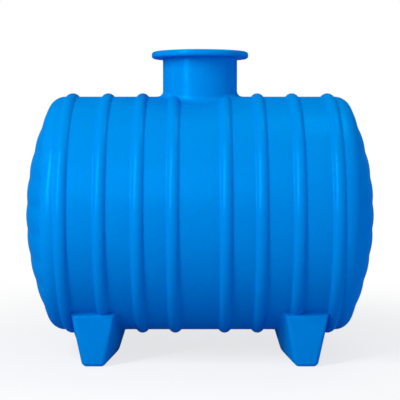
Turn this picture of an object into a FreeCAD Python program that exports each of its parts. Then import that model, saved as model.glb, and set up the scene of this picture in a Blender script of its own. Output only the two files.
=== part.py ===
import FreeCAD, Part

import math
import os

from FreeCAD import Vector

# A horizontal underground water tank, moulded in polyethylene: a barrel stiffened by hoop ribs,
# fluted dished ends, a flanged access neck on top and two saddle feet below.
# All sizes are in millimetres. +X runs along the barrel, +Z is up, and the feet stand on Z = 0.

# Barrel
BARREL_RADIUS = 630.0          # outside of the plain wall
WALL = 10.0                    # wall of the whole moulding

# Hoop ribs: hollow beads of the wall, four on each side of the middle
RIB_PLACES = (132.0, 308.0, 494.0, 685.0)
RIB_RISE = 18.0                # crest above the plain wall
RIB_CREST_RADIUS = 36.0
RIB_BLEND = 10.0               # hollow radius where a rib leaves the wall
RIB_SKIRT = 8.0                # plain wall beside a bead that belongs to its ring

# Dished ends
CROWN_RADIUS = 1352.0          # through the crests of the flutes
KNUCKLE_RADIUS = 86.0          # corner between the crown and the barrel
KNUCKLE_PROUD = 0.5            # the knuckle's own crown stands this far outside the flutes
FLUTE_PITCH = 136.0            # along the crown, from crest to crest
FLUTE_RADIUS = 314.0           # section of one flute
FLUTES_EACH_SIDE = 4           # flutes above, and below, the middle one
FLUTE_DRUM_SHARE = 1.3         # height of the drum that carries them, against the barrel's

# Neck and flange
NECK_RADIUS = 200.0
NECK_RISE = 203.0              # from the top of the barrel to the underside of the flange
NECK_BLEND = 30.0              # hollow radius where the neck leaves the barrel
NECK_PATCH_SHARE = 1.2         # width of the barrel wall round the neck that belongs to it, per blend
NECK_PROUD = 0.5               # the neck's root stands this far proud of the barrel
FLANGE_RADIUS = 260.0
FLANGE_THICKNESS = 36.0
FLANGE_EDGE = 14.0             # rounding of the rim
FLANGE_BLEND = 12.0            # hollow radius between the neck and the flange

# Saddle feet, each one hollow and open into the barrel
FOOT_PLACE = 545.0             # from the middle of the tank to the middle of a foot
FOOT_CLEARANCE = 129.0         # from the ground to the underside of the barrel
FOOT_HALF_DEPTH = 415.0        # from the middle plane to the front face
FOOT_FACE_WIDTH = 113.0        # front and back face, at the ground
FOOT_MIDDLE_WIDTH = 212.0      # at the middle plane, at the ground
FOOT_SIDE_SLOPE = 0.2          # sideways growth of each flank for its height
FOOT_RIDGE_RADIUS = 300.0      # plan rounding of the flanks at the middle plane
FOOT_CORNER = 14.0             # rounding of the outer corners
FOOT_INSIDE_CORNER = 4.0       # rounding of the same corners inside the hollow
FOOT_RUN_IN = 40.0             # the block runs this far up behind the barrel's wall

# Sizes worked out from those above
AXIS_HEIGHT = BARREL_RADIUS + FOOT_CLEARANCE
RIB_HALF = math.sqrt((RIB_CREST_RADIUS + RIB_BLEND) ** 2
                     - (RIB_CREST_RADIUS + RIB_BLEND - RIB_RISE) ** 2)
RING_HALF = RIB_HALF + RIB_SKIRT
BARREL_HALF = RIB_PLACES[-1] + RIB_HALF           # an end starts where the last bead stops
END_RADIUS = CROWN_RADIUS + KNUCKLE_PROUD
CROWN_CENTRE = BARREL_HALF - math.sqrt((END_RADIUS - KNUCKLE_RADIUS) ** 2
                                       - (BARREL_RADIUS - KNUCKLE_RADIUS) ** 2)
NECK_PATCH = NECK_RADIUS + NECK_PATCH_SHARE * NECK_BLEND   # radius of the neck's saddle-shaped root
FLANGE_UNDERSIDE = BARREL_RADIUS + NECK_RISE
FLANGE_TOP = FLANGE_UNDERSIDE + FLANGE_THICKNESS
REACH = 4.0 * BARREL_RADIUS                       # longer than anything that a cutter has to pass
CLOSE = 0.01                                      # two lengths this near to each other are the same
SEAM_TURN = -90.0                                 # brings the sweep's seam to the back of the barrel

X_AXIS = Vector(1, 0, 0)
Z_AXIS = Vector(0, 0, 1)
ORIGIN = Vector(0, 0, 0)


# Small drawing helpers

def at(x, z):
    """A point of the upright plane along the barrel."""
    return Vector(x, 0, z)


def line(start, end):
    return Part.LineSegment(start, end).toShape()


def arc_about(centre, start, end):
    """The shorter arc about a centre, from one point to another."""
    half_way = (start - centre).normalize() + (end - centre).normalize()
    middle = centre + half_way.normalize() * (start - centre).Length
    return Part.Arc(start, middle, end).toShape()


def along(start, towards, distance):
    """The point at a distance from start on the way to another point."""
    return start + (towards - start).normalize() * distance


def spun(edges, point, axis):
    """The solid that a closed outline sweeps in one turn about an axis."""
    return Part.Face(Part.Wire(edges)).revolve(point, axis, 360)


def slab(x_from, x_to):
    """Everything between two upright planes across the barrel."""
    return Part.makeBox(x_to - x_from, 2 * REACH, 2 * REACH, Vector(x_from, -REACH, -REACH))


def mirrored(shape):
    """The same shape at the other end of the tank."""
    return shape.mirror(ORIGIN, X_AXIS)


# Barrel with its ribs and the plain form of its ends. Inset 0 is the outside, inset WALL the inside.

def rib_edges(place, inset):
    """One bead of the outline: hollow blend, crest, hollow blend."""
    crest = at(place, BARREL_RADIUS + RIB_RISE - RIB_CREST_RADIUS)
    before = at(place - RIB_HALF, BARREL_RADIUS + RIB_BLEND)
    after = at(place + RIB_HALF, BARREL_RADIUS + RIB_BLEND)
    blend = RIB_BLEND + inset
    foot_before = before - Z_AXIS * blend
    foot_after = after - Z_AXIS * blend
    rise = along(before, crest, blend)
    fall = along(after, crest, blend)
    return [arc_about(before, foot_before, rise),
            arc_about(crest, rise, fall),
            arc_about(after, fall, foot_after)]


def half_outline(inset):
    """The outline from the middle of the barrel to the tip of the right-hand end."""
    radius = BARREL_RADIUS - inset
    edges = []
    pen = at(0, radius)
    for place in RIB_PLACES:
        edges.append(line(pen, at(place - RIB_HALF, radius)))
        edges += rib_edges(place, inset)
        pen = at(place + RIB_HALF, radius)
    knuckle = at(BARREL_HALF, BARREL_RADIUS - KNUCKLE_RADIUS)
    crown = at(CROWN_CENTRE, 0)
    rim = along(crown, knuckle, END_RADIUS - inset)
    tip = at(CROWN_CENTRE + END_RADIUS - inset, 0)
    edges.append(arc_about(knuckle, at(BARREL_HALF, radius), rim))
    edges.append(arc_about(crown, rim, tip))
    return edges


def plain_body(inset):
    """Barrel, ribs and smooth ends as one solid of revolution."""
    right = half_outline(inset)
    left = [mirrored(edge) for edge in right]
    tip = right[-1].Vertexes[-1].Point
    axis = line(tip, at(-tip.x, 0))
    solid = spun(Part.__sortEdges__(right + left + [axis]), ORIGIN, X_AXIS)
    return solid.rotated(ORIGIN, X_AXIS, SEAM_TURN)


# Flutes of the ends: a scalloped section, swept about the upright line through the crown's centre

def flute_drum(inset):
    """A drum whose side carries the flutes of the right-hand end."""
    step = FLUTE_PITCH / CROWN_RADIUS
    reach = CROWN_RADIUS - FLUTE_RADIUS
    radius = FLUTE_RADIUS - inset
    valley = reach * math.cos(step / 2) + math.sqrt(radius ** 2 - (reach * math.sin(step / 2)) ** 2)
    crown = at(CROWN_CENTRE, 0)

    def polar(distance, turn):
        return crown + at(distance * math.cos(turn), distance * math.sin(turn))

    last_crest = FLUTES_EACH_SIDE * step
    shoulder = math.asin(FLUTE_DRUM_SHARE * BARREL_RADIUS / CROWN_RADIUS)
    outside = CROWN_RADIUS - inset
    edges = [arc_about(crown, polar(outside, -shoulder), polar(outside, -last_crest))]
    pen = polar(outside, -last_crest)
    for number in range(-FLUTES_EACH_SIDE, FLUTES_EACH_SIDE + 1):
        centre = polar(reach, number * step)
        if number < FLUTES_EACH_SIDE:
            end = polar(valley, (number + 0.5) * step)
        else:
            end = polar(outside, last_crest)
        edges.append(arc_about(centre, pen, end))
        pen = end
    top = polar(outside, shoulder)
    bottom = polar(outside, -shoulder)
    edges.append(arc_about(crown, pen, top))
    edges.append(line(top, at(CROWN_CENTRE, top.z)))
    edges.append(line(at(CROWN_CENTRE, top.z), at(CROWN_CENTRE, bottom.z)))
    edges.append(line(at(CROWN_CENTRE, bottom.z), bottom))
    return spun(edges, crown, Z_AXIS)


def body(inset):
    """The barrel with its ribs and its fluted ends, as a solid."""
    drum = flute_drum(inset)
    return plain_body(inset).common(drum).common(mirrored(drum))


# Neck: a tube whose root is blended into the barrel, and the flange on top of it

def neck_solid(inset):
    """The neck with its blended root, cut to its round patch of the barrel."""
    radius = BARREL_RADIUS + NECK_PROUD - inset
    barrel = Part.makeCylinder(radius, 2 * NECK_PATCH, at(-NECK_PATCH, 0), X_AXIS)
    tube = Part.makeCylinder(NECK_RADIUS - inset, FLANGE_UNDERSIDE, ORIGIN, Z_AXIS)
    joined = barrel.fuse(tube).removeSplitter()
    root = [edge for edge in joined.Edges if is_neck_root(edge, inset)]
    blended = joined.makeFillet(NECK_BLEND + inset, root)
    patch = Part.makeCylinder(NECK_PATCH, FLANGE_UNDERSIDE, ORIGIN, Z_AXIS)
    return blended.common(patch)


def is_neck_root(edge, inset):
    """True for an edge where the neck's tube meets the barrel."""
    first, last = edge.ParameterRange
    points = [edge.valueAt(first + share * (last - first)) for share in (0.2, 0.5, 0.8)]
    on_tube = all(abs(math.hypot(p.x, p.y) - (NECK_RADIUS - inset)) < CLOSE for p in points)
    barrel = BARREL_RADIUS + NECK_PROUD - inset
    on_barrel = all(abs(math.hypot(p.y, p.z) - barrel) < CLOSE for p in points)
    return on_tube and on_barrel


def flange():
    """The flange ring, with a rounded rim and a hollow blend down to the neck."""
    bore = NECK_RADIUS - WALL
    low = at(FLANGE_RADIUS, FLANGE_UNDERSIDE)
    edges = [
        line(at(bore, FLANGE_UNDERSIDE - FLANGE_BLEND), at(bore, FLANGE_TOP)),
        line(at(bore, FLANGE_TOP), at(FLANGE_RADIUS - FLANGE_EDGE, FLANGE_TOP)),
        arc_about(at(FLANGE_RADIUS - FLANGE_EDGE, FLANGE_TOP - FLANGE_EDGE),
                  at(FLANGE_RADIUS - FLANGE_EDGE, FLANGE_TOP),
                  at(FLANGE_RADIUS, FLANGE_TOP - FLANGE_EDGE)),
        line(at(FLANGE_RADIUS, FLANGE_TOP - FLANGE_EDGE), low + at(0, FLANGE_EDGE)),
        arc_about(low + at(-FLANGE_EDGE, FLANGE_EDGE), low + at(0, FLANGE_EDGE), low - at(FLANGE_EDGE, 0)),
        line(low - at(FLANGE_EDGE, 0), at(NECK_RADIUS + FLANGE_BLEND, FLANGE_UNDERSIDE)),
        arc_about(at(NECK_RADIUS + FLANGE_BLEND, FLANGE_UNDERSIDE - FLANGE_BLEND),
                  at(NECK_RADIUS + FLANGE_BLEND, FLANGE_UNDERSIDE),
                  at(NECK_RADIUS, FLANGE_UNDERSIDE - FLANGE_BLEND)),
        line(at(NECK_RADIUS, FLANGE_UNDERSIDE - FLANGE_BLEND), at(bore, FLANGE_UNDERSIDE - FLANGE_BLEND)),
    ]
    return spun(edges, ORIGIN, Z_AXIS)


# Saddle foot: a block with sloped flanks, widest at the middle plane

def foot_outline(height, inset):
    """The plan of the foot at a height over the ground, as a closed wire."""
    flank = math.hypot(1, FOOT_SIDE_SLOPE) * inset
    face = FOOT_FACE_WIDTH / 2 + FOOT_SIDE_SLOPE * height - flank
    middle = FOOT_MIDDLE_WIDTH / 2 + FOOT_SIDE_SLOPE * height - flank
    depth = FOOT_HALF_DEPTH - inset
    level = height - AXIS_HEIGHT
    lean = math.atan2(middle - face, depth)
    tangent = (FOOT_RIDGE_RADIUS - inset) * math.tan(lean)

    def corner(side, run):
        return Vector(FOOT_PLACE + side * face, run * depth, level)

    def ridge(side, run):
        """Where a straight flank runs into the rounding at the middle plane."""
        tip = Vector(FOOT_PLACE + side * middle, 0, level)
        return along(tip, corner(side, run), tangent)

    def rounding(side, run):
        reach = middle - (FOOT_RIDGE_RADIUS - inset) / math.cos(lean)
        centre = Vector(FOOT_PLACE + side * reach, 0, level)
        return arc_about(centre, ridge(side, run), ridge(side, -run))

    return Part.Wire([
        line(corner(-1, -1), corner(1, -1)),
        line(corner(1, -1), ridge(1, -1)),
        rounding(1, -1),
        line(ridge(1, 1), corner(1, 1)),
        line(corner(1, 1), corner(-1, 1)),
        line(corner(-1, 1), ridge(-1, 1)),
        rounding(-1, 1),
        line(ridge(-1, -1), corner(-1, -1)),
    ])


def foot_block(inset):
    """The right-hand foot from its sole up to the middle of the barrel's wall."""
    sole = inset
    top = AXIS_HEIGHT - math.sqrt(BARREL_RADIUS ** 2 - FOOT_HALF_DEPTH ** 2) + FOOT_RUN_IN
    block = Part.makeLoft([foot_outline(sole, inset), foot_outline(top, inset)], True, True)
    outer = [edge for edge in block.Edges if is_foot_corner(edge, sole)]
    return block.makeFillet(FOOT_INSIDE_CORNER if inset else FOOT_CORNER, outer)


def is_foot_corner(edge, sole):
    """True for the sole's edges and for the upright corners of the front and back faces."""
    heights = [vertex.Point.z + AXIS_HEIGHT for vertex in edge.Vertexes]
    on_sole = all(abs(height - sole) < CLOSE for height in heights)
    upright = abs(heights[0] - heights[-1]) > CLOSE
    at_face = all(abs(vertex.Point.y) > FOOT_HALF_DEPTH / 2 for vertex in edge.Vertexes)
    return on_sole or (upright and at_face)


# The pieces

def ring_names():
    """Name and span of every ring of the barrel, from left to right."""
    places = sorted([-place for place in RIB_PLACES] + list(RIB_PLACES))
    rings = []
    for number, place in enumerate(places, 1):
        x_from = max(place - RING_HALF, -BARREL_HALF)
        x_to = min(place + RING_HALF, BARREL_HALF)
        rings.append((f"hoop_rib_{number}", x_from, x_to))
        if number < len(places):
            rings.append((f"barrel_bay_{number}", x_to, places[number] - RING_HALF))
    return rings


def make_pieces():
    """Every piece by name, about the barrel's axis."""
    outside = body(0)
    shell = outside.cut(body(WALL))
    neck_outside = neck_solid(0)
    foot_outside = foot_block(0)
    foot_inside = foot_block(WALL)
    hollows = [foot_inside, mirrored(foot_inside)]
    pieces = {}
    for name, x_from, x_to in ring_names():
        pieces[name] = shell.common(slab(x_from, x_to)).cut([neck_outside] + hollows)
    pieces["right_end"] = shell.common(slab(BARREL_HALF, REACH))
    pieces["left_end"] = mirrored(pieces["right_end"])
    root_top = FLANGE_UNDERSIDE - FLANGE_BLEND
    below_flange = Part.makeCylinder(NECK_PATCH, root_top, ORIGIN, Z_AXIS)
    pieces["neck"] = neck_outside.common(below_flange).cut(neck_solid(WALL))
    pieces["neck_flange"] = flange()
    pieces["right_foot"] = foot_outside.cut([foot_inside, outside])
    pieces["left_foot"] = mirrored(pieces["right_foot"])
    return pieces


def main():
    os.makedirs("parts", exist_ok=True)
    for name, piece in make_pieces().items():
        piece.translate(Z_AXIS * AXIS_HEIGHT)
        print(f"{name:14s} solids {len(piece.Solids)} valid {piece.isValid()} "
              f"litres {piece.Volume / 1e6:.2f} faces {len(piece.Faces)}")
        piece.exportStep(f"parts/{name}.step")


main()
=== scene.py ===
# %% [markdown]
# # A moulded underground water tank
#
# The tank is one hollow moulding of blue polyethylene: a lying barrel with eight hoop ribs, two dished
# ends with level flutes, an open neck with a flange on top, and two saddle feet below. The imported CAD
# part gives every size and place. This lesson models each zone of the skin again with Blender's own
# tools, with the soft runs and roundings that a moulding has, and then gives it a surface and light.

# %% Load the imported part
import math

import bmesh
import bpy
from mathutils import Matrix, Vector


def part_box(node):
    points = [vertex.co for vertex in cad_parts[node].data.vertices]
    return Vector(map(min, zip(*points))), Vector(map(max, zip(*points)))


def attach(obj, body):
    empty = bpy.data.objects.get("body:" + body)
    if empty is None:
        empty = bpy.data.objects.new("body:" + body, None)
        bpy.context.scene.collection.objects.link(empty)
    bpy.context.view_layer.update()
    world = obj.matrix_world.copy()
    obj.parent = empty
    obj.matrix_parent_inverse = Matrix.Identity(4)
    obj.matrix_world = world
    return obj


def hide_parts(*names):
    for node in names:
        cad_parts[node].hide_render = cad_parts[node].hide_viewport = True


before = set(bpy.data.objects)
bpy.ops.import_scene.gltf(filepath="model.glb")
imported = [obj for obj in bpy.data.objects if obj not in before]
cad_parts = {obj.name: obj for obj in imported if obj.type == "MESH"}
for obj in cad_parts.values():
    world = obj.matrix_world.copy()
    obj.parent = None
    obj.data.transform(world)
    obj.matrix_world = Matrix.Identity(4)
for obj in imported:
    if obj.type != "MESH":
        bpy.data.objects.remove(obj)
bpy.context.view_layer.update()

# %% [markdown]
# ## Sizes of the moulding
#
# All lengths are in metres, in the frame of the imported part: X along the barrel, Z up, the ground at
# zero. They could be read from the CAD boxes, but an outline needs its radii too, so the few values
# that the skin is drawn from are written here once, and two places on the part are printed beside them.

# %% Sizes
AXIS = 0.759                                   # height of the barrel's axis
BARREL = 0.630                                 # outside radius of the plain wall
WALL = 0.010                                   # thickness of the moulding
RIBS = (0.132, 0.308, 0.494, 0.685)            # places of the ribs on each side of the middle
RIB_RISE, RIB_CREST, RIB_BLEND = 0.018, 0.036, 0.010
RIB_HALF = math.sqrt((RIB_CREST + RIB_BLEND) ** 2 - (RIB_CREST + RIB_BLEND - RIB_RISE) ** 2)
SKIRT = 0.008                                  # plain wall beside a rib
ROUND = 288                                    # steps of a full turn about the barrel's axis

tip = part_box("right_end")[1].x
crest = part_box("hoop_rib_3")[1].z - AXIS
print(f"end tip at {tip:.4f} m")
print(f"rib crest at {crest:.4f} m from the axis, drawn at {BARREL + RIB_RISE:.4f} m")

# %% [markdown]
# ## Camera
#
# The photograph was taken from the front with a long lens, a little above the barrel's axis and
# tilted down by a few degrees. Distance, height, tilt and lens were found by laying the part's
# outline over the photograph's, so the camera needs no shift.

# %% Camera
CAMERA_PLACE = (0.0, -5.975, 1.230)
CAMERA_TILT = 3.84                             # degrees below the level
LENS, SENSOR = 99.05, 36                       # millimetres
bpy.ops.object.select_all(action="DESELECT")
bpy.ops.object.camera_add(location=CAMERA_PLACE, rotation=(math.radians(90 - CAMERA_TILT), 0, 0))
camera = bpy.context.object
camera.data.lens = LENS
camera.data.sensor_width = SENSOR
bpy.context.scene.camera = camera
print("camera at", tuple(round(v, 3) for v in camera.location), "lens", camera.data.lens)

# %% [markdown]
# ## Floor, background and light
#
# A product photograph of a large satin body wants big soft lamps. A tall key lamp at the upper left
# draws a thin line of gloss down each rib. A bluish fill at the right is kept out of reflections, so
# that it leaves no mark on the ends. A small warm lamp lights the top, and a weak lamp in front gives
# the bays their soft band of gloss. The floor is pale and keeps the shadow. Through the Light Path node
# the camera sees floor and surround as plain white, and so do reflections, while the tank is lit by a
# dimmer pair, so that its underside stays as deep as in the photograph.


# %% Rays that see the white background
def background_rays(nodes, links):
    """One for rays from the camera, from a reflection or through glass, and nought for all others."""
    rays = nodes.new("ShaderNodeLightPath")
    found = rays.outputs["Is Camera Ray"]
    for kind in ("Is Glossy Ray", "Is Transmission Ray"):
        either = nodes.new("ShaderNodeMath")
        either.operation = "MAXIMUM"
        links.new(found, either.inputs[0])
        links.new(rays.outputs[kind], either.inputs[1])
        found = either.outputs[0]
    return found


print("background rays ready")

# %% Floor plane
FLOOR_SIZE = 60
bpy.ops.object.select_all(action="DESELECT")
bpy.ops.mesh.primitive_plane_add(size=FLOOR_SIZE, location=(0, 0, 0))
floor = bpy.context.object
floor.name = "floor"
print("floor", tuple(floor.dimensions))

# %% Floor finish
FADE_NEAR, FADE_FAR = 0.8, 3.2                 # metres from the middle over which it turns white
FADE_START = 0.76                              # share of plain white close to the tank
FLOOR_BOUNCE = (0.25, 0.35, 0.56, 1)           # what the tank gets back from the floor
FLOOR_SEEN = (0.85, 0.85, 0.85, 1)             # what the camera sees, with the shadow on it
floor_finish = bpy.data.materials.new("pale_floor")
floor_finish.use_nodes = True
nodes, links = floor_finish.node_tree.nodes, floor_finish.node_tree.links
nodes.clear()
floor_out = nodes.new("ShaderNodeOutputMaterial")
floor_mix = nodes.new("ShaderNodeMixShader")
floor_glow = nodes.new("ShaderNodeEmission")
floor_paint = nodes.new("ShaderNodeBsdfDiffuse")
floor_share = nodes.new("ShaderNodeMath")
floor_place = nodes.new("ShaderNodeTexCoord")
floor_far = nodes.new("ShaderNodeVectorMath")
floor_fade = nodes.new("ShaderNodeMapRange")
floor_tone = nodes.new("ShaderNodeMix")
floor_seen = background_rays(nodes, links)

floor_far.operation = "LENGTH"
floor_fade.interpolation_type = "SMOOTHSTEP"
floor_fade.inputs["From Min"].default_value = FADE_NEAR
floor_fade.inputs["From Max"].default_value = FADE_FAR
floor_fade.inputs["To Min"].default_value = FADE_START
floor_fade.inputs["To Max"].default_value = 1.0
floor_share.operation = "MULTIPLY"
floor_tone.data_type = "RGBA"
floor_tone.inputs["A"].default_value = FLOOR_BOUNCE
floor_tone.inputs["B"].default_value = FLOOR_SEEN
floor_glow.inputs["Color"].default_value = (1, 1, 1, 1)
floor_glow.inputs["Strength"].default_value = 1.0

links.new(floor_seen, floor_tone.inputs["Factor"])
links.new(floor_tone.outputs["Result"], floor_paint.inputs["Color"])
links.new(floor_place.outputs["Object"], floor_far.inputs[0])
links.new(floor_far.outputs["Value"], floor_fade.inputs["Value"])
links.new(floor_seen, floor_share.inputs[0])
links.new(floor_fade.outputs["Result"], floor_share.inputs[1])
links.new(floor_share.outputs[0], floor_mix.inputs["Fac"])
links.new(floor_paint.outputs[0], floor_mix.inputs[1])
links.new(floor_glow.outputs[0], floor_mix.inputs[2])
links.new(floor_mix.outputs[0], floor_out.inputs["Surface"])
floor.data.materials.append(floor_finish)
print("floor finish:", len(nodes), "nodes")

# %% Surround
SURROUND_TINT, SURROUND_STRENGTH = (0.46, 0.64, 1.0, 1), 0.27
world = bpy.data.worlds.new("surround")
bpy.context.scene.world = world
world.use_nodes = True
nodes, links = world.node_tree.nodes, world.node_tree.links
nodes.clear()
world_out = nodes.new("ShaderNodeOutputWorld")
world_mix = nodes.new("ShaderNodeMixShader")
world_dim = nodes.new("ShaderNodeBackground")
world_white = nodes.new("ShaderNodeBackground")
world_dim.inputs["Color"].default_value = SURROUND_TINT
world_dim.inputs["Strength"].default_value = SURROUND_STRENGTH
world_white.inputs["Color"].default_value = (1, 1, 1, 1)
world_white.inputs["Strength"].default_value = 1.0
links.new(background_rays(nodes, links), world_mix.inputs["Fac"])
links.new(world_dim.outputs[0], world_mix.inputs[1])
links.new(world_white.outputs[0], world_mix.inputs[2])
links.new(world_mix.outputs[0], world_out.inputs["Surface"])
bpy.context.scene.view_settings.view_transform = "Standard"
print("surround strength", SURROUND_STRENGTH)


# %% Lamps
def softbox(name, place, aim, width, height, watts, colour):
    """A rectangular lamp that faces a point."""
    bpy.ops.object.select_all(action="DESELECT")
    turn = (Vector(aim) - Vector(place)).to_track_quat("-Z", "Y").to_euler()
    bpy.ops.object.light_add(type="AREA", location=place, rotation=turn)
    lamp = bpy.context.object
    lamp.name = name
    lamp.data.shape = "RECTANGLE"
    lamp.data.size, lamp.data.size_y = width, height
    lamp.data.energy, lamp.data.color = watts, colour
    return lamp


middle = (0, 0, AXIS)
key = softbox("key_softbox", (-4.9, -5.47, 5.14), middle, 1.0, 7.0, 708, (1.0, 1.0, 0.92))
fill = softbox("fill_softbox", (5.0, -1.8, 1.2), middle, 2.0, 2.0, 67, (0.68, 0.79, 1.0))
over = softbox("top_softbox", (1.5, 0.2, 4.3), (0.4, 0, 1.3), 1.6, 1.6, 29, (1.0, 1.0, 0.7))
front = softbox("front_softbox", (-0.9, -6.5, 4.7), (0, -0.6, 0.95), 3.0, 4.0, 60, (1.0, 1.0, 0.96))
fill.visible_glossy = False
print("lamps:", [(lamp.name, lamp.data.energy) for lamp in (key, fill, over, front)])

# %% [markdown]
# ## Moulded polyethylene
#
# Rotomoulded polyethylene is coloured right through, with a soft gloss. The mould leaves a fine orange
# peel and long, shallow waves, the gloss varies in clouds, and the pigment is not quite even. All of
# that is made by noise on Object coordinates. The pieces all sit at the origin, so the pattern runs on
# from one to the next and the moulding reads as one. A clear gloss would turn the edges pale against
# the white surround. So the plain specular is off, and a trace of metallic gives the sheen instead,
# because a metallic sheen takes the blue of the pigment.

# %% Finish of the moulding
PIGMENT_SHARE = 0.25                           # of fine specks in the colour; the clouds have the rest


def moulded_polyethylene(name, deep, light, roughness):
    """A material of blue polyethylene: clouded colour, uneven gloss, orange peel and shallow waves."""
    finish = bpy.data.materials.new(name)
    finish.use_nodes = True
    nodes, links = finish.node_tree.nodes, finish.node_tree.links
    shader = nodes["Principled BSDF"]
    place = nodes.new("ShaderNodeTexCoord")

    def noise(scale, detail):
        node = nodes.new("ShaderNodeTexNoise")
        node.inputs["Scale"].default_value = scale
        node.inputs["Detail"].default_value = detail
        links.new(place.outputs["Object"], node.inputs["Vector"])
        return node

    clouds = noise(4.0, 4.0)
    pigment = noise(420.0, 2.0)
    tint = nodes.new("ShaderNodeMix")
    tint.data_type = "RGBA"
    tint.inputs["A"].default_value = (*deep, 1)
    tint.inputs["B"].default_value = (*light, 1)
    blend = nodes.new("ShaderNodeMath")
    blend.operation = "MULTIPLY_ADD"
    blend.inputs[1].default_value = PIGMENT_SHARE
    links.new(pigment.outputs["Fac"], blend.inputs[0])
    soft = nodes.new("ShaderNodeMath")
    soft.operation = "MULTIPLY"
    soft.inputs[1].default_value = 1 - PIGMENT_SHARE
    links.new(clouds.outputs["Fac"], soft.inputs[0])
    links.new(soft.outputs[0], blend.inputs[2])
    links.new(blend.outputs[0], tint.inputs["Factor"])
    links.new(tint.outputs["Result"], shader.inputs["Base Color"])

    patches = noise(11.0, 3.0)
    sheen = nodes.new("ShaderNodeMapRange")
    sheen.inputs["From Min"].default_value = 0.3
    sheen.inputs["From Max"].default_value = 0.7
    sheen.inputs["To Min"].default_value = roughness - 0.05
    sheen.inputs["To Max"].default_value = roughness + 0.07
    links.new(patches.outputs["Fac"], sheen.inputs["Value"])
    links.new(sheen.outputs["Result"], shader.inputs["Roughness"])

    waves = noise(14.0, 2.0)
    long_bump = nodes.new("ShaderNodeBump")
    long_bump.inputs["Strength"].default_value = 0.40
    long_bump.inputs["Distance"].default_value = 0.004
    links.new(waves.outputs["Fac"], long_bump.inputs["Height"])
    peel = noise(130.0, 2.0)
    fine_bump = nodes.new("ShaderNodeBump")
    fine_bump.inputs["Strength"].default_value = 0.28
    fine_bump.inputs["Distance"].default_value = 0.0014
    links.new(peel.outputs["Fac"], fine_bump.inputs["Height"])
    links.new(long_bump.outputs["Normal"], fine_bump.inputs["Normal"])
    links.new(fine_bump.outputs["Normal"], shader.inputs["Normal"])
    shader.inputs["IOR"].default_value = 1.51
    shader.inputs["Specular IOR Level"].default_value = 0.0
    shader.inputs["Specular Tint"].default_value = (0.10, 0.50, 1.0, 1)
    shader.inputs["Metallic"].default_value = 0.08
    return finish


barrel_blue = moulded_polyethylene("barrel_blue", (0.0, 0.215, 0.64), (0.0, 0.245, 0.71), 0.27)
print("finish:", barrel_blue.name)

# %% [markdown]
# ## Drawing an outline and spinning it
#
# Most of the tank is round, so its skin is an outline spun about an axis. By hand one would add a
# plane, merge it into one vertex, extrude that vertex along the straight runs and spin it about a
# centre for the arcs. The helpers below do just that. A wall is given to the finished skin by
# Solidify, which keeps it even over every bead and corner.


# %% Outline helpers
def start_outline(name, start):
    """One loose vertex in edit mode: the pen that draws an outline."""
    bpy.ops.object.select_all(action="DESELECT")
    bpy.ops.mesh.primitive_plane_add(size=WALL, location=(0, 0, 0))
    piece = bpy.context.object
    piece.name = piece.data.name = name
    bpy.ops.object.mode_set(mode="EDIT")
    bpy.ops.mesh.select_mode(type="VERT")
    bpy.ops.mesh.select_all(action="SELECT")
    bpy.ops.mesh.merge(type="CENTER")
    bpy.ops.transform.translate(value=start)
    return piece


def draw_line(x, z):
    """A straight run of the outline, by a distance along and a distance up."""
    bpy.ops.mesh.extrude_vertices_move(TRANSFORM_OT_translate={"value": (x, 0, z)})


def draw_arc(x, z, degrees, steps):
    """An arc about a point of the drawing plane, counter-clockwise as seen from the front."""
    bpy.ops.mesh.spin(steps=steps, angle=math.radians(degrees), center=(x, 0, z), axis=(0, 1, 0))


def spin_outline(centre, axis, steps):
    """Spins the whole outline by a full turn and closes the seam and the poles."""
    bpy.ops.mesh.select_all(action="SELECT")
    bpy.ops.mesh.spin(steps=steps, angle=2 * math.pi, center=centre, axis=axis)
    bpy.ops.mesh.select_all(action="SELECT")
    bpy.ops.mesh.remove_doubles(threshold=1e-5)
    bpy.ops.mesh.normals_make_consistent(inside=False)


def add_wall(piece, even=True):
    """Gives a skin the wall of the moulding, on its inner side."""
    bpy.ops.object.mode_set(mode="OBJECT")
    bpy.ops.object.modifier_add(type="SOLIDIFY")
    wall = piece.modifiers[-1]
    wall.thickness, wall.offset, wall.use_even_offset = WALL, -1, even
    bpy.ops.object.modifier_apply(modifier=wall.name)


def take(piece):
    """Makes a piece the only one that is selected, so that no operator reaches another."""
    bpy.ops.object.select_all(action="DESELECT")
    piece.select_set(True)
    bpy.context.view_layer.objects.active = piece


print("outline helpers ready")

# %% Piece helpers
SHARP = math.radians(35)                       # edges that turn by more than this stay crisp


def finish_piece(piece, *nodes):
    """Smooth shading, the finish and a place on the body; hides the CAD nodes that the piece stands
    for.
    """
    take(piece)
    bpy.ops.object.shade_smooth_by_angle(angle=SHARP)
    piece.data.materials.clear()
    piece.data.materials.append(barrel_blue)
    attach(piece, "root")
    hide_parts(*nodes)


def own_copy(piece, name):
    """A copy with a mesh of its own, left in edit mode with all of it selected."""
    take(piece)
    bpy.ops.object.duplicate(linked=False)
    twin = bpy.context.object
    twin.name = twin.data.name = name
    bpy.ops.object.mode_set(mode="EDIT")
    bpy.ops.mesh.select_all(action="SELECT")
    return twin


def pick(kind, test):
    """Selects, in edit mode, only the vertices, edges or faces that pass a test."""
    bpy.ops.mesh.select_mode(type=kind)
    bpy.ops.mesh.select_all(action="DESELECT")
    mesh = bmesh.from_edit_mesh(bpy.context.object.data)
    for item in {"VERT": mesh.verts, "EDGE": mesh.edges, "FACE": mesh.faces}[kind]:
        item.select_set(test(item))
    mesh.select_flush_mode()
    bmesh.update_edit_mesh(bpy.context.object.data)


print("piece helpers ready")

# %% [markdown]
# ## Hoop ribs
#
# A rib is a bead of the wall: a round crest between two hollow blends, with a strip of plain wall on
# each side. It is drawn once over the middle of the tank, spun about the barrel's axis, and copied to
# its eight places. The plain strips make neighbours meet on the same cylinder, so no seam shows.

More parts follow.
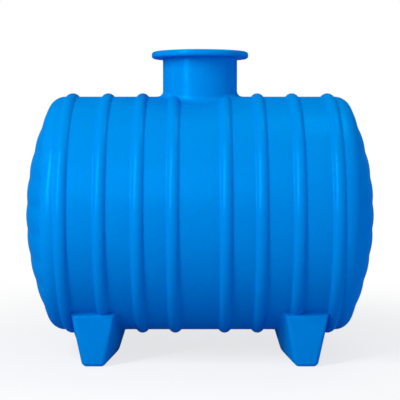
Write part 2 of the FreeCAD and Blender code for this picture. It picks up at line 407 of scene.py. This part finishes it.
# %% One rib
blend_turn = math.degrees(math.acos(1 - RIB_RISE / (RIB_CREST + RIB_BLEND)))
rib = start_outline("rib_pattern", (-RIB_HALF - SKIRT, 0, AXIS + BARREL))
draw_line(SKIRT, 0)
draw_arc(-RIB_HALF, AXIS + BARREL + RIB_BLEND, blend_turn, 5)
draw_arc(0, AXIS + BARREL + RIB_RISE - RIB_CREST, -2 * blend_turn, 14)
draw_arc(RIB_HALF, AXIS + BARREL + RIB_BLEND, blend_turn, 5)
draw_line(SKIRT, 0)
spin_outline((0, 0, AXIS), (1, 0, 0), ROUND)
add_wall(rib)
print("rib pattern:", len(rib.data.polygons), "faces")

# %% Eight ribs
places = sorted([-x for x in RIBS] + list(RIBS))
ribs = []
for number, x in enumerate(places, 1):
    piece = own_copy(rib, f"rib_{number}")
    bpy.ops.transform.translate(value=(x, 0, 0))
    bpy.ops.object.mode_set(mode="OBJECT")
    ribs.append(piece)
bpy.data.objects.remove(rib)
print("ribs at", places)

# %% [markdown]
# ## Barrel bays
#
# Between the ribs the wall is a plain cylinder. Each bay is a short line, spun by the same number of
# steps as the ribs, so that the vertices of two neighbours fall together.

# %% Seven bays
bays = []
for number in range(1, len(places)):
    x_from = places[number - 1] + RIB_HALF + SKIRT
    x_to = places[number] - RIB_HALF - SKIRT
    piece = start_outline(f"bay_{number}", (x_from, 0, AXIS + BARREL))
    draw_line(x_to - x_from, 0)
    spin_outline((0, 0, AXIS), (1, 0, 0), ROUND)
    add_wall(piece)
    bays.append(piece)
print("bays:", [round(bay.dimensions.x, 4) for bay in bays])

# %% [markdown]
# ## Fluted ends
#
# An end is dished: a knuckle rolls over from the barrel into a wide crown, and level flutes stiffen
# the crown. The dish is an outline spun about the barrel's axis. The flutes are a scalloped outline,
# spun part of a turn about the upright line through the crown's centre. The dish is then pressed onto
# that sheet with Shrinkwrap, only inwards, so the flutes run out softly on the knuckle.

# %% Sheet of flutes
CROWN, CROWN_X = 1.352, -0.4222                # radius over the flutes, and its centre
FLUTE, VALLEY = 0.314, 0.060                   # section radii of a flute and of the hollow between two
STEP = 0.136 / CROWN                           # angle from flute to flute
ASIDE = 4                                      # flutes on each side of the middle one
SHEET_EDGE = 0.55                              # angle at which the sheet ends, above and below
SHEET_TURN = math.radians(32)                  # how far the sheet reaches to the front and to the back
reach = CROWN - FLUTE
half_pitch = reach * math.sin(STEP / 2)
hollow = reach * math.cos(STEP / 2) + math.sqrt((FLUTE + VALLEY) ** 2 - half_pitch ** 2)


def polar(distance, turn):
    """A point of the drawing plane, from its distance and turn about the crown's centre."""
    return CROWN_X + distance * math.cos(turn), AXIS + distance * math.sin(turn)


crest_turn = math.atan2(hollow * math.sin(STEP / 2), hollow * math.cos(STEP / 2) - reach)
valley_turn = crest_turn - STEP / 2
edge_x, edge_z = polar(CROWN, -SHEET_EDGE)
plain_turn = math.degrees(SHEET_EDGE - ASIDE * STEP)
sheet = start_outline("flute_sheet", (edge_x, 0, edge_z))
draw_arc(CROWN_X, AXIS, plain_turn, 8)
for number in range(-ASIDE, ASIDE + 1):
    turns = (crest_turn if number > -ASIDE else 0) + (crest_turn if number < ASIDE else 0)
    draw_arc(*polar(reach, number * STEP), math.degrees(turns), 10)
    if number < ASIDE:
        draw_arc(*polar(hollow, (number + 0.5) * STEP), -math.degrees(2 * valley_turn), 6)
draw_arc(CROWN_X, AXIS, plain_turn, 8)
print("sheet outline:", len(bmesh.from_edit_mesh(sheet.data).verts), "vertices")

# %% Spin the sheet
bpy.ops.mesh.select_all(action="SELECT")
bpy.ops.transform.rotate(value=SHEET_TURN, orient_axis="Z", center_override=(CROWN_X, 0, AXIS))
bpy.ops.object.mode_set(mode="OBJECT")
side = 1 if sum(v.co.y for v in sheet.data.vertices) < 0 else -1
bpy.ops.object.mode_set(mode="EDIT")
bpy.ops.mesh.spin(steps=96, angle=-side * 2 * SHEET_TURN, center=(CROWN_X, 0, AXIS), axis=(0, 0, 1))
bpy.ops.object.mode_set(mode="OBJECT")
print("sheet from", [round(min(v.co[i] for v in sheet.data.vertices), 3) for i in range(3)],
      "to", [round(max(v.co[i] for v in sheet.data.vertices), 3) for i in range(3)])

# %% Right-hand end
END_X = 0.7245                                 # where the knuckle starts
BORDER = 0.723                                 # where the end meets the last rib
CLEAR = 0.0005                                 # by which a dish or a form stands outside its surface
plain_crown = CROWN + CLEAR
run = END_X - CROWN_X
knuckle = (run ** 2 + BARREL ** 2 - plain_crown ** 2) / (2 * (BARREL - plain_crown))
rim_turn = math.degrees(math.atan2(BARREL - knuckle, run))
right_end = start_outline("end_right", (BORDER, 0, AXIS + BARREL))
draw_line(END_X - BORDER, 0)
draw_arc(END_X, AXIS + BARREL - knuckle, rim_turn - 90, 18)
draw_arc(CROWN_X, AXIS, -rim_turn, 60)
spin_outline((0, 0, AXIS), (1, 0, 0), ROUND)
bpy.ops.object.mode_set(mode="OBJECT")
print("knuckle radius", round(knuckle, 4), "rim at", round(rim_turn, 2), "degrees")

# %% Press the end onto the flutes
PRESS_FROM, PRESS_LIMIT = 0.01, 0.03           # past the knuckle's start, and the longest move
SMOOTH_FROM = 0.03                             # past the knuckle's start
crown_group = right_end.vertex_groups.new(name="crown")
crown_group.add([v.index for v in right_end.data.vertices if v.co.x > END_X + PRESS_FROM], 1, "REPLACE")
bpy.ops.object.modifier_add(type="SHRINKWRAP")
press = right_end.modifiers[-1]
press.target, press.vertex_group = sheet, crown_group.name
press.wrap_method = "PROJECT"
press.project_limit = PRESS_LIMIT
press.use_project_x = True
press.use_positive_direction = False
press.use_negative_direction = True
bpy.ops.object.modifier_apply(modifier=press.name)
bpy.data.objects.remove(sheet)
bpy.ops.object.mode_set(mode="EDIT")
pick("VERT", lambda v: v.co.x > END_X + SMOOTH_FROM)
bpy.ops.mesh.vertices_smooth(factor=0.5, repeat=2)
add_wall(right_end)
left_end = own_copy(right_end, "end_left")
bpy.ops.transform.rotate(value=math.pi, orient_axis="Z", center_override=(0, 0, 0))
bpy.ops.object.mode_set(mode="OBJECT")
print("ends reach", round(max(v.co.x for v in right_end.data.vertices), 4),
      round(min(v.co.x for v in left_end.data.vertices), 4))

# %% Trim the outer ribs to the ends
for piece, side in ((ribs[0], -1), (ribs[-1], 1)):
    take(piece)
    bpy.ops.object.mode_set(mode="EDIT")
    bpy.ops.mesh.select_all(action="SELECT")
    bpy.ops.mesh.bisect(plane_co=(side * BORDER, 0, 0), plane_no=(side, 0, 0),
                        clear_outer=True, use_fill=False)
    pick("EDGE", lambda e: e.is_boundary)
    bpy.ops.mesh.bridge_edge_loops()
    bpy.ops.object.mode_set(mode="OBJECT")
print("outer ribs end at", round(max(v.co.x for v in ribs[-1].data.vertices), 4))

# %% [markdown]
# ## Neck
#
# The neck is a tube that grows out of the barrel with a hollow blend all round. Its foot follows the
# barrel, so it is saddle-shaped. A circle is extruded down, its last ring is dropped onto the barrel
# with Shrinkwrap, and a skirt is extruded outwards and dropped too. A bevel of the ring between tube
# and skirt then gives the blend, and Solidify the wall.

# %% Barrel to press on
bpy.ops.object.select_all(action="DESELECT")
bpy.ops.mesh.primitive_cylinder_add(vertices=720, radius=BARREL + CLEAR, depth=1.5,
                                    location=(0, 0, AXIS), rotation=(0, math.pi / 2, 0))
form = bpy.context.object
form.name = "barrel_form"
bpy.ops.object.transform_apply(location=True, rotation=True)
print("form", [round(v, 3) for v in form.dimensions])


# %% Drop onto the barrel
def drop_onto_form(piece, test, **settings):
    """Moves the vertices that pass a test onto the barrel, and goes back to edit mode."""
    bpy.ops.object.mode_set(mode="OBJECT")
    group = piece.vertex_groups.new(name="dropped")
    group.add([v.index for v in piece.data.vertices if test(v.co)], 1, "REPLACE")
    bpy.ops.object.modifier_add(type="SHRINKWRAP")
    drop = piece.modifiers[-1]
    drop.target, drop.vertex_group = form, group.name
    for setting, value in settings.items():
        setattr(drop, setting, value)
    bpy.ops.object.modifier_apply(modifier=drop.name)
    piece.vertex_groups.remove(piece.vertex_groups["dropped"])
    bpy.ops.object.mode_set(mode="EDIT")


print("drop ready")

# %% Neck tube and skirt
NECK, NECK_TOP = 0.200, 1.580                  # outside radius, and height where the flange starts
NECK_BLEND, NECK_SKIRT = 0.030, 0.236          # width of the blend, and radius of the skirt


def below_mouth(co):
    """Whether a point is on the lower part of the neck."""
    return co.z < NECK_TOP - 0.05


def beside_tube(co):
    """Whether a point is on the skirt, outside the tube."""
    return math.hypot(co.x, co.y) > NECK + 0.01


bpy.ops.object.select_all(action="DESELECT")
bpy.ops.mesh.primitive_circle_add(vertices=160, radius=NECK, fill_type="NOTHING", location=(0, 0, 0))
neck = bpy.context.object
neck.name = neck.data.name = "neck_tube"
bpy.ops.object.mode_set(mode="EDIT")
bpy.ops.mesh.select_all(action="SELECT")
bpy.ops.transform.translate(value=(0, 0, NECK_TOP))
bpy.ops.mesh.extrude_region_move(TRANSFORM_OT_translate={"value": (0, 0, -0.1)})
downwards = dict(wrap_method="PROJECT", use_project_z=True, use_positive_direction=False,
                 use_negative_direction=True)
drop_onto_form(neck, below_mouth, **downwards)
pick("VERT", lambda v: below_mouth(v.co))
bpy.ops.mesh.extrude_region_move(TRANSFORM_OT_translate={"value": (0, 0, 0.05)})
bpy.ops.transform.resize(value=(NECK_SKIRT / NECK, NECK_SKIRT / NECK, 1), center_override=(0, 0, 0))
drop_onto_form(neck, beside_tube, **downwards)
pick("EDGE", lambda e: all(below_mouth(v.co) and not beside_tube(v.co) for v in e.verts))
bpy.ops.mesh.bevel(offset=NECK_BLEND, segments=10, affect="EDGES")
bpy.ops.mesh.select_all(action="SELECT")
bpy.ops.mesh.normals_make_consistent(inside=False)
add_wall(neck)
print("neck:", len(neck.data.polygons), "faces, lowest",
      round(min(v.co.z for v in neck.data.vertices), 4))

# %% Open the barrel under the neck
PUNCH = NECK - 0.003                           # a little inside the neck's outer face
bpy.ops.object.select_all(action="DESELECT")
bpy.ops.mesh.primitive_cylinder_add(vertices=160, radius=PUNCH, depth=0.6,
                                    location=(0, 0, AXIS + BARREL))
punch = bpy.context.object
for piece in (ribs[3], bays[3], ribs[4]):
    take(piece)
    bpy.ops.object.modifier_add(type="BOOLEAN")
    cut = piece.modifiers[-1]
    cut.operation, cut.solver, cut.object = "DIFFERENCE", "EXACT", punch
    bpy.ops.object.modifier_apply(modifier=cut.name)
    print(piece.name, "opened,", len(piece.data.polygons), "faces")
bpy.data.objects.remove(punch)

# %% [markdown]
# ## Flange
#
# The flange is a ring with a rounded rim, solid where the mould's walls meet. It runs down to the neck
# in a hollow blend. Its whole section is drawn as a closed outline and spun about the neck's axis.

# %% Flange
FLANGE, FLANGE_LOW, FLANGE_TOP = 0.260, 1.592, 1.628
RIM, BLEND = 0.014, 0.012                      # rounding of the rim, and blend to the neck
BORE, LIP = NECK - WALL, 0.003                 # radius of the mouth, and rounding of its edge
flange = start_outline("flange_ring", (NECK, 0, NECK_TOP))
draw_arc(NECK + BLEND, NECK_TOP, -90, 6)
draw_line(FLANGE - RIM - NECK - BLEND, 0)
draw_arc(FLANGE - RIM, FLANGE_LOW + RIM, 90, 8)
draw_line(0, FLANGE_TOP - FLANGE_LOW - 2 * RIM)
draw_arc(FLANGE - RIM, FLANGE_TOP - RIM, 90, 8)
draw_line(BORE + LIP - FLANGE + RIM, 0)
draw_arc(BORE + LIP, FLANGE_TOP - LIP, 90, 4)
draw_line(0, NECK_TOP - FLANGE_TOP + LIP)
draw_line(WALL, 0)
spin_outline((0, 0, 0), (0, 0, 1), 192)
bpy.ops.object.mode_set(mode="OBJECT")
print("flange:", [round(v, 4) for v in flange.dimensions])

# %% [markdown]
# ## Saddle feet
#
# Each foot is a hollow tub under the barrel, drafted as a mould needs it: all walls lean outwards, and
# the flanks are widest at the middle. The front and back faces end in a rounded shoulder that stands a
# little proud of the barrel, so the rib above dies into it. A cube is sized, widened at a middle cut,
# tapered, cut level at the shoulder and bevelled. The barrel's form is cut away from its top, and a
# skirt that lies on the barrel is bevelled against the walls.

# %% Block of the right-hand foot
FOOT_X, FOOT_DEEP, FOOT_HIGH = 0.545, 0.418, 0.36
FACE, MIDDLE = 0.113 / 2, 0.210 / 2            # half widths of the sole, at its front and at its middle
SLOPE, FLARE = 0.2, 0.13                       # draft of the flanks, and what the middle adds to it
TINY = 0.001                                   # two heights or places closer than this are the same


def upright(edge):
    """Whether an edge runs up a wall of the foot."""
    return abs(edge.verts[0].co.z - edge.verts[1].co.z) > 0.05


bpy.ops.object.select_all(action="DESELECT")
bpy.ops.mesh.primitive_cube_add(size=1, location=(0, 0, 0))
right_foot = bpy.context.object
right_foot.name = right_foot.data.name = "foot_right"
bpy.ops.object.mode_set(mode="EDIT")
bpy.ops.mesh.select_all(action="SELECT")
bpy.ops.transform.resize(value=(2 * FACE, 2 * FOOT_DEEP, FOOT_HIGH))
bpy.ops.transform.translate(value=(FOOT_X, 0, FOOT_HIGH / 2))
pick("EDGE", lambda e: abs(e.verts[0].co.y - e.verts[1].co.y) > FOOT_DEEP)
bpy.ops.mesh.subdivide(number_cuts=1)
pick("VERT", lambda v: abs(v.co.y) < TINY)
bpy.ops.transform.resize(value=(MIDDLE / FACE, 1, 1), center_override=(FOOT_X, 0, 0))
for side in (-1, 1):
    pick("VERT", lambda v: v.co.z > TINY and side * (v.co.x - FOOT_X) > 0)
    bpy.ops.transform.translate(value=(side * SLOPE * FOOT_HIGH, 0, 0))
    pick("VERT", lambda v: v.co.z > TINY and side * (v.co.x - FOOT_X) > 0 and abs(v.co.y) < TINY)
    bpy.ops.transform.translate(value=(side * FLARE * FOOT_HIGH, 0, 0))
pick("EDGE", lambda e: not upright(e) and all(abs(v.co.y) < TINY for v in e.verts))
bpy.ops.mesh.dissolve_edges(use_verts=False)
print("foot block:", len(bmesh.from_edit_mesh(right_foot.data).faces), "faces")

# %% Shoulders of the foot
SHOULDER, LEAN = 0.270, 0.014                  # height of the shoulder, and lean of the face up to it
LEDGE = 0.300                                  # run of the ledge from the shoulder back to the top
NEAR_FACE = 0.3                                # points further out than this are on the front or back
bpy.ops.mesh.select_all(action="SELECT")
bpy.ops.mesh.bisect(plane_co=(0, 0, SHOULDER), plane_no=(0, 0, 1))
for side in (-1, 1):
    pick("VERT", lambda v: abs(v.co.z - SHOULDER) < TINY and side * v.co.y > NEAR_FACE)
    bpy.ops.transform.translate(value=(0, side * LEAN, 0))
    pick("VERT", lambda v: v.co.z > SHOULDER + TINY and side * v.co.y > NEAR_FACE)
    bpy.ops.transform.translate(value=(0, side * (LEAN - LEDGE), 0))
print("shoulder at", SHOULDER)

# %% Rounded edges of the foot
RIDGE, CORNER = 0.09, 0.022                    # bevels of the flank's ridge and of all other edges


def rounded(edge):
    """Whether an edge is an upright corner, the rim of the sole or the front of a shoulder."""
    ends = [v.co for v in edge.verts]
    corner = upright(edge) and all(abs(co.y) > NEAR_FACE for co in ends)
    sole_rim = all(co.z < TINY for co in ends) and any(abs(f.normal.z) < 0.9 for f in edge.link_faces)
    shoulder = all(abs(co.z - SHOULDER) < TINY and abs(co.y) > FOOT_DEEP for co in ends)
    return corner or sole_rim or shoulder


pick("EDGE", lambda e: upright(e) and all(abs(v.co.y) < TINY for v in e.verts))
bpy.ops.mesh.bevel(offset=RIDGE, segments=8, affect="EDGES")
pick("EDGE", rounded)
bpy.ops.mesh.bevel(offset=CORNER, segments=6, affect="EDGES")
bpy.ops.mesh.select_all(action="SELECT")
bpy.ops.mesh.normals_make_consistent(inside=False)
bpy.ops.object.mode_set(mode="OBJECT")
print("rounded foot:", len(right_foot.data.polygons), "faces")


# %% Cut the barrel out of the foot
def on_barrel(vertex):
    """Whether a vertex lies on the barrel's form."""
    return abs(math.hypot(vertex.co.y, vertex.co.z - AXIS) - BARREL - CLEAR) < 0.0004


bpy.ops.object.modifier_add(type="BOOLEAN")
cut = right_foot.modifiers[-1]
cut.operation, cut.solver, cut.object = "DIFFERENCE", "EXACT", form
bpy.ops.object.modifier_apply(modifier=cut.name)
bpy.ops.object.mode_set(mode="EDIT")
pick("FACE", lambda f: all(on_barrel(v) for v in f.verts) and f.normal.z > 0.3)
bpy.ops.mesh.delete(type="FACE")
pick("VERT", lambda v: v.co.z > 0.3 and not on_barrel(v))
bpy.ops.mesh.delete(type="VERT")
pick("VERT", lambda v: v.is_boundary)
bpy.ops.mesh.remove_doubles(threshold=0.003)
pick("EDGE", lambda e: e.is_boundary)
bpy.ops.object.mode_set(mode="OBJECT")
print("foot cut:", len(right_foot.data.polygons), "faces, highest",
      round(max(v.co.z for v in right_foot.data.vertices), 4))
bpy.ops.object.mode_set(mode="EDIT")


# %% Run the foot into the barrel
def spot(co):
    """A place as rounded numbers, so that it can be looked up."""
    return tuple(round(c, 5) for c in co)


def open_edge():
    """The places of the vertices along the foot's open edge."""
    return {spot(v.co) for v in bmesh.from_edit_mesh(right_foot.data).verts if v.is_boundary}


SPREAD = (1.16, 1.045, 1)                      # how the skirt widens from the walls
SKIRT_BEVEL = 0.010
wall_top = open_edge()
bpy.ops.mesh.extrude_region_move(TRANSFORM_OT_translate={"value": (0, 0, 0)})
bpy.ops.transform.resize(value=SPREAD, center_override=(FOOT_X, 0, 0.2))
skirt_edge = open_edge()
drop_onto_form(right_foot, lambda co: spot(co) in skirt_edge, wrap_method="NEAREST_SURFACEPOINT")
pick("EDGE", lambda e: all(spot(v.co) in wall_top for v in e.verts))
bpy.ops.mesh.bevel(offset=SKIRT_BEVEL, segments=4, affect="EDGES")
bpy.ops.mesh.select_all(action="SELECT")
bpy.ops.mesh.remove_doubles(threshold=0.0004)
bpy.ops.mesh.normals_make_consistent(inside=False)
sole = min(bmesh.from_edit_mesh(right_foot.data).faces, key=lambda f: f.calc_center_median().z)
if sole.normal.z > 0:
    bpy.ops.mesh.flip_normals()
add_wall(right_foot, even=False)
print("right-hand foot:", len(right_foot.data.polygons), "faces")

# %% Left-hand foot
left_foot = own_copy(right_foot, "foot_left")
bpy.ops.transform.rotate(value=math.pi, orient_axis="Z", center_override=(0, 0, 0))
bpy.ops.object.mode_set(mode="OBJECT")
bpy.data.objects.remove(form)
print("left-hand foot:", len(left_foot.data.polygons), "faces")

# %% [markdown]
# ## Finish the pieces
#
# Every piece gets its shading and its finish, rides on the one body of this fixed tank, and hides the
# CAD nodes that it stands for.

# %% Finish all pieces
for number, piece in enumerate(ribs, 1):
    finish_piece(piece, f"hoop_rib_{number}")
for number, piece in enumerate(bays, 1):
    finish_piece(piece, f"barrel_bay_{number}")
finish_piece(left_end, "left_end")
finish_piece(right_end, "right_end")
finish_piece(neck, "neck")
finish_piece(flange, "neck_flange")
finish_piece(left_foot, "left_foot")
finish_piece(right_foot, "right_foot")
shown = ribs + bays + [left_end, right_end, neck, flange, left_foot, right_foot]
triangles = {piece.name: sum(len(face.vertices) - 2 for face in piece.data.polygons) for piece in shown}
print("pieces:", len(shown), "triangles:", sum(triangles.values()), "most:", max(triangles.values()))
